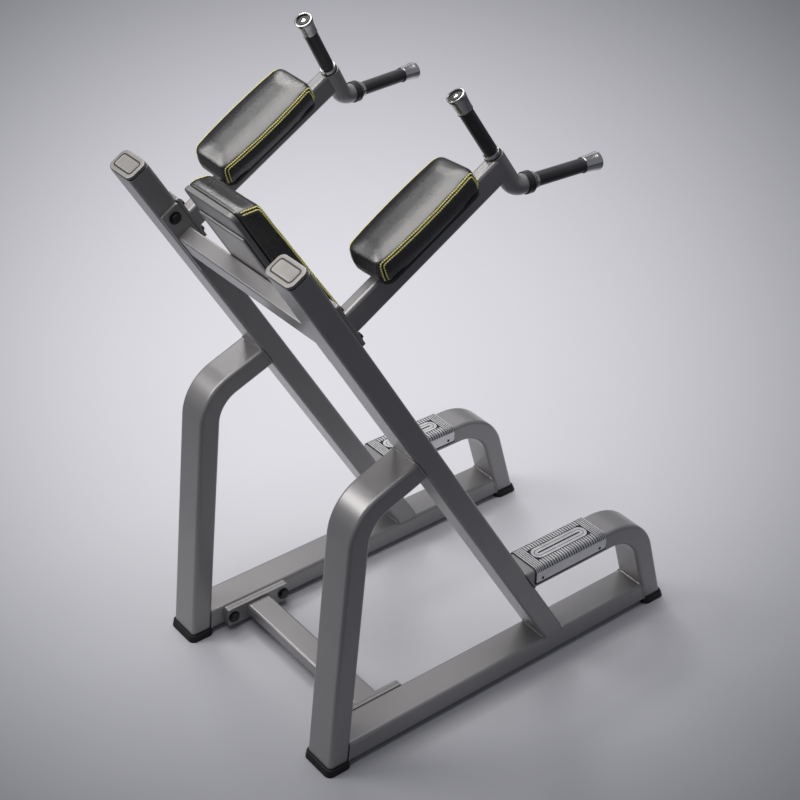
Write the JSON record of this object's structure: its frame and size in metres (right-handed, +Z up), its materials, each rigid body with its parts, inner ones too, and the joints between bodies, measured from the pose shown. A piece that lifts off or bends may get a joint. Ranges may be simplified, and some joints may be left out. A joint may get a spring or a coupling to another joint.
{
  "type": "vertical knee raise station",
  "caption": "Freestanding knee raise station: leaning tube frames with grooved steps, elbow pads with upright and forward grips, and a back pad on a crossbeam.",
  "frame": {"origin": "middle of the station's footprint box, on the floor", "axes": "+Z up; the user faces -Y and stands on the steps at -Y; +X is the user's left"},
  "size_m": [0.7334, 1.1918, 1.6284],
  "materials": {
    "frame_paint": "satin metallic grey paint",
    "foot_rubber": "matte black",
    "grip_rubber": "matte black",
    "bare_aluminium": "bare, grooved",
    "bright_metal": "polished",
    "silver_cap": "satin silver",
    "black_leather": "grained black with a soft sheen",
    "black_board": "black painted",
    "black_steel": "black oxide",
    "black_plastic": "satin black"
  },
  "bodies": {
    "root": {"arm_flange_left": "frame_paint", "arm_flange_right": "frame_paint", "arm_pad_board_left": "black_board", "arm_pad_board_right": "black_board", "arm_pad_left": "black_leather", "arm_pad_right": "black_leather", "arm_tube_left": "frame_paint", "arm_tube_right": "frame_paint", "back_pad": "black_leather", "back_pad_board": "black_board", "back_support_plate": "frame_paint", "base_rail_left": "frame_paint", "base_rail_right": "frame_paint", "beam_bolt_lower_left": "black_steel", "beam_bolt_lower_right": "black_steel", "beam_bolt_upper_left": "black_steel", "beam_bolt_upper_right": "black_steel", "beam_flange_left": "frame_paint", "beam_flange_right": "frame_paint", "cross_flange_left": "frame_paint", "cross_flange_right": "frame_paint", "front_foot_left": "foot_rubber", "front_foot_right": "foot_rubber", "grip_cap_front_left": "bright_metal", "grip_cap_front_right": "bright_metal", "grip_cap_upper_left": "bright_metal", "grip_cap_upper_right": "bright_metal", "grip_front_left": "grip_rubber", "grip_front_right": "grip_rubber", "grip_ring_front_left": "bright_metal", "grip_ring_front_right": "bright_metal", "grip_ring_upper_left": "bright_metal", "grip_ring_upper_right": "bright_metal", "grip_upper_left": "grip_rubber", "grip_upper_right": "grip_rubber", "handle_collar_left": "black_plastic", "handle_collar_right": "black_plastic", "handle_tube_left": "frame_paint", "handle_tube_right": "frame_paint", "lower_bolt_front_left": "black_steel", "lower_bolt_front_right": "black_steel", "lower_bolt_rear_left": "black_steel", "lower_bolt_rear_right": "black_steel", "lower_cross_tube": "frame_paint", "rail_plate_left": "frame_paint", "rail_plate_right": "frame_paint", "rear_foot_left": "foot_rubber", "rear_foot_right": "foot_rubber", "rear_leg_left": "frame_paint", "rear_leg_right": "frame_paint", "step_tube_left": "frame_paint", "step_tube_right": "frame_paint", "tread_left": "bare_aluminium", "tread_right": "bare_aluminium", "upper_crossbeam": "frame_paint", "upright_cap_left": "silver_cap", "upright_cap_right": "silver_cap", "upright_left": "frame_paint", "upright_right": "frame_paint"}
  },
  "joints": []
}
